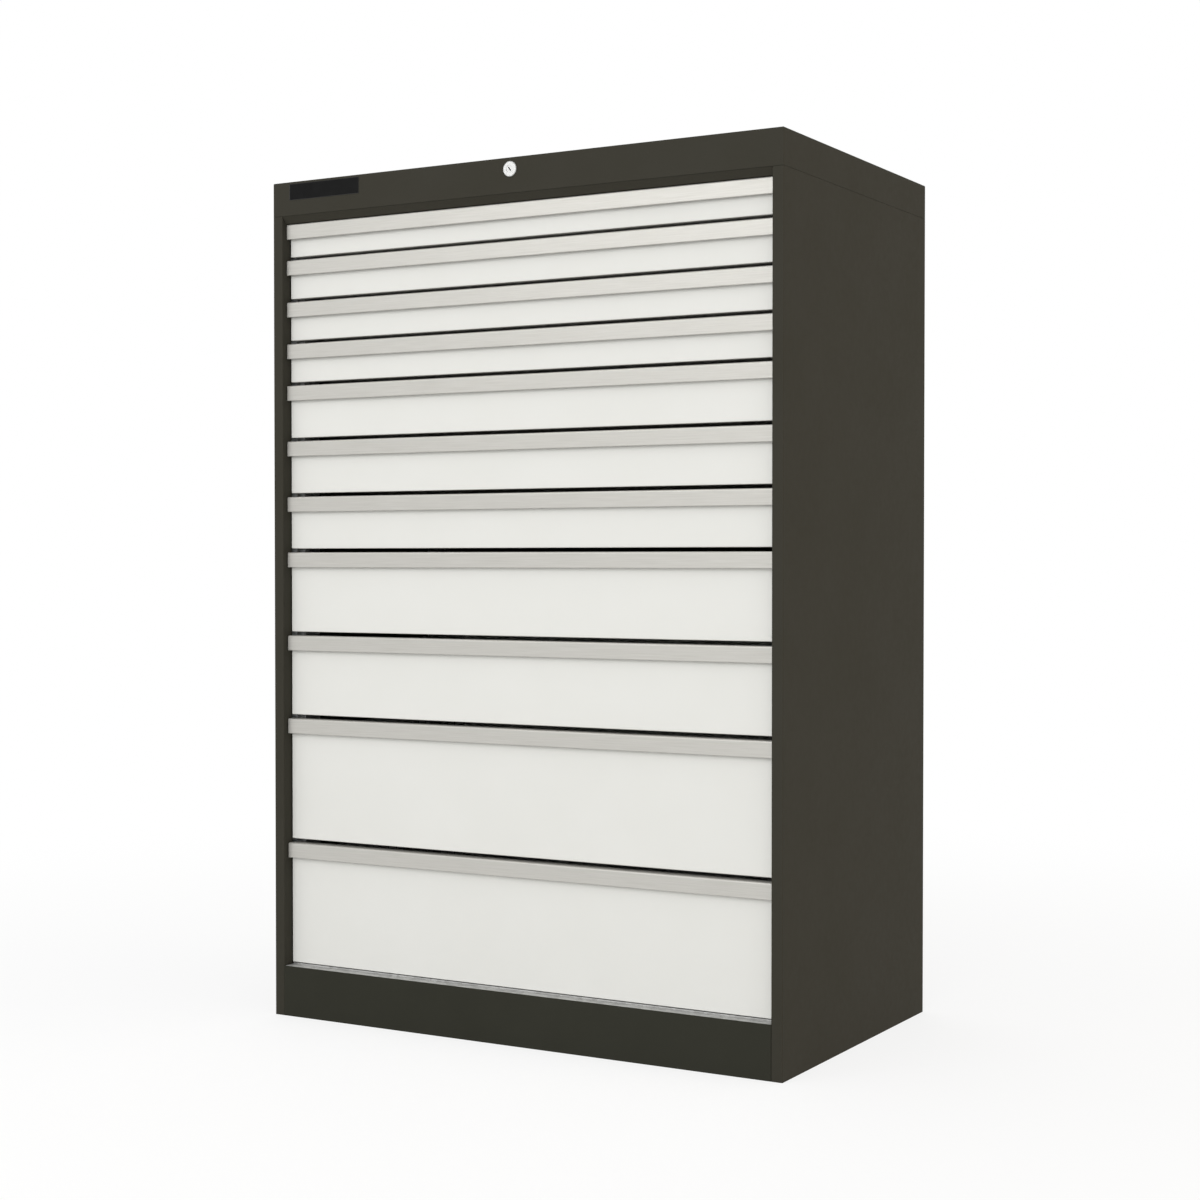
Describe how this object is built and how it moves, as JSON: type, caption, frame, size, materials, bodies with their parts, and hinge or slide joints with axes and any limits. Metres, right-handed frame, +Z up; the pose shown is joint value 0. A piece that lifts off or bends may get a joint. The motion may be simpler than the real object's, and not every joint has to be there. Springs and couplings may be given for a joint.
{
  "type": "drawer cabinet",
  "caption": "Tall sheet-steel drawer cabinet with full-width drawers on telescopic runners, aluminium handle strips, a plinth base and a central lock.",
  "frame": {"origin": "on the floor under the middle of the body", "axes": "+Z up, -Y is the front that the drawers open towards, +X to the viewer's right when facing the front"},
  "size_m": [1.01, 0.608, 1.5],
  "materials": {
    "body_paint": "satin dark grey powder coat",
    "drawer_paint": "satin off-white powder coat",
    "handle_aluminium": "satin anodised extrusion",
    "floor_zinc": "zinc-coated sheet",
    "runner_zinc": "zinc-plated rolled section",
    "roller_steel": "ground bearing steel",
    "lock_chrome": "satin nickel plate",
    "lock_steel": "zinc-plated flat bar"
  },
  "bodies": {
    "cabinet": {"left_side_panel": "body_paint", "right_side_panel": "body_paint", "back_panel": "body_paint", "top_cap": "body_paint", "header_rail": "body_paint", "base_plinth": "body_paint", "floor_panel": "floor_zinc", "runner_posts": "runner_zinc", "cabinet_runners": "runner_zinc", "cabinet_rollers": "roller_steel", "lock_housing": "lock_chrome", "lock_nut": "lock_steel"},
    "drawer_01": {"drawer_01_tray": "drawer_paint", "drawer_01_handle": "handle_aluminium", "drawer_01_runners": "runner_zinc"},
    "drawer_02": {"drawer_02_tray": "drawer_paint", "drawer_02_handle": "handle_aluminium", "drawer_02_runners": "runner_zinc"},
    "drawer_03": {"drawer_03_tray": "drawer_paint", "drawer_03_handle": "handle_aluminium", "drawer_03_runners": "runner_zinc"},
    "drawer_04": {"drawer_04_tray": "drawer_paint", "drawer_04_handle": "handle_aluminium", "drawer_04_runners": "runner_zinc"},
    "drawer_05": {"drawer_05_tray": "drawer_paint", "drawer_05_handle": "handle_aluminium", "drawer_05_runners": "runner_zinc"},
    "drawer_06": {"drawer_06_tray": "drawer_paint", "drawer_06_handle": "handle_aluminium", "drawer_06_runners": "runner_zinc"},
    "drawer_07": {"drawer_07_tray": "drawer_paint", "drawer_07_handle": "handle_aluminium", "drawer_07_runners": "runner_zinc"},
    "drawer_08": {"drawer_08_tray": "drawer_paint", "drawer_08_handle": "handle_aluminium", "drawer_08_runners": "runner_zinc"},
    "drawer_09": {"drawer_09_tray": "drawer_paint", "drawer_09_handle": "handle_aluminium", "drawer_09_runners": "runner_zinc"},
    "drawer_10": {"drawer_10_tray": "drawer_paint", "drawer_10_handle": "handle_aluminium", "drawer_10_runners": "runner_zinc"},
    "drawer_11": {"drawer_11_tray": "drawer_paint", "drawer_11_handle": "handle_aluminium", "drawer_11_runners": "runner_zinc"},
    "drawer_01_mid": {"drawer_01_mid_runners": "runner_zinc"},
    "drawer_02_mid": {"drawer_02_mid_runners": "runner_zinc"},
    "drawer_03_mid": {"drawer_03_mid_runners": "runner_zinc"},
    "drawer_04_mid": {"drawer_04_mid_runners": "runner_zinc"},
    "drawer_05_mid": {"drawer_05_mid_runners": "runner_zinc"},
    "drawer_06_mid": {"drawer_06_mid_runners": "runner_zinc"},
    "drawer_07_mid": {"drawer_07_mid_runners": "runner_zinc"},
    "drawer_08_mid": {"drawer_08_mid_runners": "runner_zinc"},
    "drawer_09_mid": {"drawer_09_mid_runners": "runner_zinc"},
    "drawer_10_mid": {"drawer_10_mid_runners": "runner_zinc"},
    "drawer_11_mid": {"drawer_11_mid_runners": "runner_zinc"},
    "lock_plug": {"lock_plug": "lock_chrome", "lock_cam": "lock_steel"},
    "lock_rod": {"lock_rod": "lock_steel"},
    "lock_bar": {"lock_bar": "lock_steel"}
  },
  "joints": [
    {"name": "drawer_01_slide", "type": "slide", "parent": "cabinet", "child": "drawer_01", "axis": [0, -1, 0], "range_m": [0, 0.5]},
    {"name": "drawer_02_slide", "type": "slide", "parent": "cabinet", "child": "drawer_02", "axis": [0, -1, 0], "range_m": [0, 0.5]},
    {"name": "drawer_03_slide", "type": "slide", "parent": "cabinet", "child": "drawer_03", "axis": [0, -1, 0], "range_m": [0, 0.5]},
    {"name": "drawer_04_slide", "type": "slide", "parent": "cabinet", "child": "drawer_04", "axis": [0, -1, 0], "range_m": [0, 0.5]},
    {"name": "drawer_05_slide", "type": "slide", "parent": "cabinet", "child": "drawer_05", "axis": [0, -1, 0], "range_m": [0, 0.5]},
    {"name": "drawer_06_slide", "type": "slide", "parent": "cabinet", "child": "drawer_06", "axis": [0, -1, 0], "range_m": [0, 0.5]},
    {"name": "drawer_07_slide", "type": "slide", "parent": "cabinet", "child": "drawer_07", "axis": [0, -1, 0], "range_m": [0, 0.5]},
    {"name": "drawer_08_slide", "type": "slide", "parent": "cabinet", "child": "drawer_08", "axis": [0, -1, 0], "range_m": [0, 0.5]},
    {"name": "drawer_09_slide", "type": "slide", "parent": "cabinet", "child": "drawer_09", "axis": [0, -1, 0], "range_m": [0, 0.5]},
    {"name": "drawer_10_slide", "type": "slide", "parent": "cabinet", "child": "drawer_10", "axis": [0, -1, 0], "range_m": [0, 0.5]},
    {"name": "drawer_11_slide", "type": "slide", "parent": "cabinet", "child": "drawer_11", "axis": [0, -1, 0], "range_m": [0, 0.5]},
    {"name": "drawer_01_mid_slide", "type": "slide", "parent": "cabinet", "child": "drawer_01_mid", "axis": [0, -1, 0], "range_m": [0, 0.25]},
    {"name": "drawer_02_mid_slide", "type": "slide", "parent": "cabinet", "child": "drawer_02_mid", "axis": [0, -1, 0], "range_m": [0, 0.25]},
    {"name": "drawer_03_mid_slide", "type": "slide", "parent": "cabinet", "child": "drawer_03_mid", "axis": [0, -1, 0], "range_m": [0, 0.25]},
    {"name": "drawer_04_mid_slide", "type": "slide", "parent": "cabinet", "child": "drawer_04_mid", "axis": [0, -1, 0], "range_m": [0, 0.25]},
    {"name": "drawer_05_mid_slide", "type": "slide", "parent": "cabinet", "child": "drawer_05_mid", "axis": [0, -1, 0], "range_m": [0, 0.25]},
    {"name": "drawer_06_mid_slide", "type": "slide", "parent": "cabinet", "child": "drawer_06_mid", "axis": [0, -1, 0], "range_m": [0, 0.25]},
    {"name": "drawer_07_mid_slide", "type": "slide", "parent": "cabinet", "child": "drawer_07_mid", "axis": [0, -1, 0], "range_m": [0, 0.25]},
    {"name": "drawer_08_mid_slide", "type": "slide", "parent": "cabinet", "child": "drawer_08_mid", "axis": [0, -1, 0], "range_m": [0, 0.25]},
    {"name": "drawer_09_mid_slide", "type": "slide", "parent": "cabinet", "child": "drawer_09_mid", "axis": [0, -1, 0], "range_m": [0, 0.25]},
    {"name": "drawer_10_mid_slide", "type": "slide", "parent": "cabinet", "child": "drawer_10_mid", "axis": [0, -1, 0], "range_m": [0, 0.25]},
    {"name": "drawer_11_mid_slide", "type": "slide", "parent": "cabinet", "child": "drawer_11_mid", "axis": [0, -1, 0], "range_m": [0, 0.25]},
    {"name": "lock_turn", "type": "hinge", "parent": "cabinet", "child": "lock_plug", "pos_m": [0, -0.3, 1.48], "axis": [0, 1, 0], "range_deg": [0, 90]},
    {"name": "lock_rod_slide", "type": "slide", "parent": "cabinet", "child": "lock_rod", "axis": [-1, 0, 0], "range_m": [0, 0.01]},
    {"name": "lock_bar_slide", "type": "slide", "parent": "cabinet", "child": "lock_bar", "axis": [0, 0, -1], "range_m": [0, 0.01]}
  ],
  "couplings": [
    {"joint": "drawer_01_mid_slide", "follows": "drawer_01_slide", "ratio": 0.5},
    {"joint": "drawer_02_mid_slide", "follows": "drawer_02_slide", "ratio": 0.5},
    {"joint": "drawer_03_mid_slide", "follows": "drawer_03_slide", "ratio": 0.5},
    {"joint": "drawer_04_mid_slide", "follows": "drawer_04_slide", "ratio": 0.5},
    {"joint": "drawer_05_mid_slide", "follows": "drawer_05_slide", "ratio": 0.5},
    {"joint": "drawer_06_mid_slide", "follows": "drawer_06_slide", "ratio": 0.5},
    {"joint": "drawer_07_mid_slide", "follows": "drawer_07_slide", "ratio": 0.5},
    {"joint": "drawer_08_mid_slide", "follows": "drawer_08_slide", "ratio": 0.5},
    {"joint": "drawer_09_mid_slide", "follows": "drawer_09_slide", "ratio": 0.5},
    {"joint": "drawer_10_mid_slide", "follows": "drawer_10_slide", "ratio": 0.5},
    {"joint": "drawer_11_mid_slide", "follows": "drawer_11_slide", "ratio": 0.5},
    {"joint": "lock_turn", "follows": "lock_bar_slide", "rad_per_m": 157.08},
    {"joint": "lock_rod_slide", "follows": "lock_bar_slide", "ratio": 1}
  ]
}
